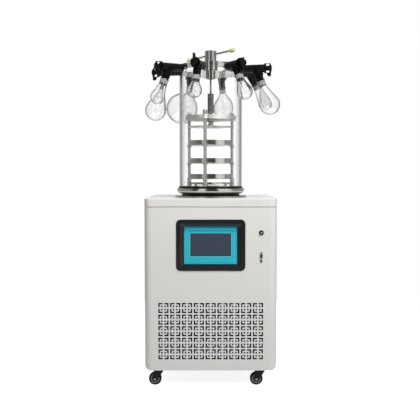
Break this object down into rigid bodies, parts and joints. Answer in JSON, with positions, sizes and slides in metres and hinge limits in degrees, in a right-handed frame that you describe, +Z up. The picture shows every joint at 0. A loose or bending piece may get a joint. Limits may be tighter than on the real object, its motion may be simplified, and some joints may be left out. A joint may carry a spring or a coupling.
{
  "type": "laboratory freeze dryer",
  "caption": "Laboratory freeze dryer: wheeled cabinet with touch screen and pierced grille, clear press chamber with shelves, and a manifold of rubber valves with pear flasks.",
  "frame": {"origin": "on the floor, under the middle of the overall width and depth", "axes": "+X to the machine's right seen from its front, +Y to its back, +Z up"},
  "size_m": [0.5305, 0.6289, 1.2955],
  "materials": {
    "powder_coat": "fine-textured warm white powder coat",
    "galvanised": "dull galvanised sheet",
    "black_paint": "black enamel",
    "caster_rubber": "black moulded rubber on a grey hub",
    "bezel_black": "satin black moulding",
    "turquoise": "glossy turquoise moulding",
    "display": "dark anti-glare display glass",
    "black_plastic": "satin black plastic",
    "selector_grey": "dark knob with a light grip",
    "plated_brass": "nickel-plated brass",
    "stainless_satin": "satin stainless steel",
    "stainless_polished": "polished stainless steel",
    "acrylic": "clear cast acrylic",
    "black_rubber": "moulded black rubber",
    "valve_black": "smooth black silicone moulding",
    "flask_glass": "clear laboratory glass",
    "insulation": "black closed-cell foam",
    "grip_cream": "cream-green moulded grips",
    "compressor_black": "black stove enamel",
    "fin_aluminium": "bare aluminium fins",
    "fan_black": "black moulded fan",
    "control_grey": "grey painted case"
  },
  "bodies": {
    "cabinet": {"base_tray": "galvanised", "front_panel": "powder_coat", "left_panel": "powder_coat", "right_panel": "powder_coat", "rear_panel": "powder_coat", "top_cover": "powder_coat", "caster_plates": "black_paint", "screen_bezel": "bezel_black", "touch_panel": "turquoise", "display_glass": "display", "selector_switch": "black_plastic", "drain_cock": "plated_brass", "power_switch": "black_plastic", "power_sockets": "black_plastic", "vacuum_port": "stainless_satin", "cold_trap": "stainless_polished", "trap_jacket": "insulation", "condenser": "fin_aluminium", "fan_mount": "black_paint", "compressor": "compressor_black", "control_box": "control_grey", "chamber_gaskets": "black_rubber", "seal_ring": "stainless_polished", "chamber_tube": "acrylic", "manifold_lid": "acrylic", "press_gland": "stainless_polished", "shelf_rack": "stainless_polished", "baffle_disc": "stainless_polished", "valve_bodies": "valve_black", "shelf_bottom": "stainless_polished", "shelf_middle": "stainless_polished", "shelf_top": "stainless_polished", "small_flasks": "flask_glass", "large_flasks": "flask_glass"},
    "selector": {"selector_knob": "selector_grey"},
    "drain_valve": {"drain_lever": "plated_brass"},
    "rocker": {"power_rocker": "black_plastic"},
    "fan": {"fan_blades": "fan_black"},
    "handle": {"press_cap": "stainless_satin", "handle_bar": "stainless_polished", "handle_tips": "grip_cream", "lead_screw": "stainless_polished"},
    "press": {"press_ram": "stainless_polished", "press_plate": "stainless_polished"},
    "knob_1": {"valve_knob_1": "valve_black"},
    "knob_2": {"valve_knob_2": "valve_black"},
    "knob_3": {"valve_knob_3": "valve_black"},
    "knob_4": {"valve_knob_4": "valve_black"},
    "knob_5": {"valve_knob_5": "valve_black"},
    "knob_6": {"valve_knob_6": "valve_black"},
    "knob_7": {"valve_knob_7": "valve_black"},
    "knob_8": {"valve_knob_8": "valve_black"},
    "fork_front_left": {"fork_front_left": "black_paint"},
    "wheel_front_left": {"wheel_front_left": "caster_rubber"},
    "fork_front_right": {"fork_front_right": "black_paint"},
    "wheel_front_right": {"wheel_front_right": "caster_rubber"},
    "fork_rear_left": {"fork_rear_left": "black_paint"},
    "wheel_rear_left": {"wheel_rear_left": "caster_rubber"},
    "fork_rear_right": {"fork_rear_right": "black_paint"},
    "wheel_rear_right": {"wheel_rear_right": "caster_rubber"}
  },
  "joints": [
    {"name": "selector_turn", "type": "hinge", "parent": "cabinet", "child": "selector", "pos_m": [0.19, -0.23052, 0.592], "axis": [0, 1, 0], "range_deg": [0, 90]},
    {"name": "drain_turn", "type": "hinge", "parent": "cabinet", "child": "drain_valve", "pos_m": [0.19, -0.23052, 0.506], "axis": [0, 1, 0], "range_deg": [0, 90]},
    {"name": "rocker_tilt", "type": "hinge", "parent": "cabinet", "child": "rocker", "pos_m": [0.25, -0.11852, 0.663], "axis": [0, 1, 0], "range_deg": [-18, 0]},
    {"name": "fan_spin", "type": "hinge", "parent": "cabinet", "child": "fan", "pos_m": [0, -0.14152, 0.1955], "axis": [0, 1, 0], "continuous": true},
    {"name": "handle_turn", "type": "hinge", "parent": "cabinet", "child": "handle", "pos_m": [0, -0.06552, 1.251], "axis": [0, 0, 1], "range_deg": [0, 2880]},
    {"name": "press_slide", "type": "slide", "parent": "cabinet", "child": "press", "axis": [0, 0, -1], "range_m": [0, 0.04]},
    {"name": "valve_turn_1", "type": "hinge", "parent": "cabinet", "child": "knob_1", "pos_m": [0, -0.06552, 1.218], "axis": [0.866, 0.5, 0], "range_deg": [0, 180]},
    {"name": "valve_turn_2", "type": "hinge", "parent": "cabinet", "child": "knob_2", "pos_m": [0, -0.06552, 1.218], "axis": [0.2588, 0.9659, 0], "range_deg": [0, 180]},
    {"name": "valve_turn_3", "type": "hinge", "parent": "cabinet", "child": "knob_3", "pos_m": [0, -0.06552, 1.218], "axis": [-0.5, 0.866, 0], "range_deg": [0, 180]},
    {"name": "valve_turn_4", "type": "hinge", "parent": "cabinet", "child": "knob_4", "pos_m": [0, -0.06552, 1.218], "axis": [-0.9659, 0.2588, 0], "range_deg": [0, 180]},
    {"name": "valve_turn_5", "type": "hinge", "parent": "cabinet", "child": "knob_5", "pos_m": [0, -0.06552, 1.218], "axis": [-0.866, -0.5, 0], "range_deg": [0, 180]},
    {"name": "valve_turn_6", "type": "hinge", "parent": "cabinet", "child": "knob_6", "pos_m": [0, -0.06552, 1.218], "axis": [-0.2588, -0.9659, 0], "range_deg": [-180, 0]},
    {"name": "valve_turn_7", "type": "hinge", "parent": "cabinet", "child": "knob_7", "pos_m": [0, -0.06552, 1.218], "axis": [0.5, -0.866, 0], "range_deg": [0, 180]},
    {"name": "valve_turn_8", "type": "hinge", "parent": "cabinet", "child": "knob_8", "pos_m": [0, -0.06552, 1.218], "axis": [0.9659, -0.2588, 0], "range_deg": [0, 180]},
    {"name": "caster_swivel_front_left", "type": "hinge", "parent": "cabinet", "child": "fork_front_left", "pos_m": [-0.195, -0.17052, 0.07], "axis": [0, 0, 1], "continuous": true},
    {"name": "wheel_spin_front_left", "type": "hinge", "parent": "fork_front_left", "child": "wheel_front_left", "pos_m": [-0.214, -0.17052, 0.0245], "axis": [0, 1, 0], "continuous": true},
    {"name": "caster_swivel_front_right", "type": "hinge", "parent": "cabinet", "child": "fork_front_right", "pos_m": [0.195, -0.17052, 0.07], "axis": [0, 0, 1], "continuous": true},
    {"name": "wheel_spin_front_right", "type": "hinge", "parent": "fork_front_right", "child": "wheel_front_right", "pos_m": [0.176, -0.17052, 0.0245], "axis": [0, 1, 0], "continuous": true},
    {"name": "caster_swivel_rear_left", "type": "hinge", "parent": "cabinet", "child": "fork_rear_left", "pos_m": [-0.195, 0.22948, 0.07], "axis": [0, 0, 1], "continuous": true},
    {"name": "wheel_spin_rear_left", "type": "hinge", "parent": "fork_rear_left", "child": "wheel_rear_left", "pos_m": [-0.214, 0.22948, 0.0245], "axis": [0, 1, 0], "continuous": true},
    {"name": "caster_swivel_rear_right", "type": "hinge", "parent": "cabinet", "child": "fork_rear_right", "pos_m": [0.195, 0.22948, 0.07], "axis": [0, 0, 1], "continuous": true},
    {"name": "wheel_spin_rear_right", "type": "hinge", "parent": "fork_rear_right", "child": "wheel_rear_right", "pos_m": [0.176, 0.22948, 0.0245], "axis": [0, 1, 0], "continuous": true}
  ],
  "couplings": [
    {"joint": "handle_turn", "follows": "press_slide", "rad_per_m": 1256.6}
  ]
}
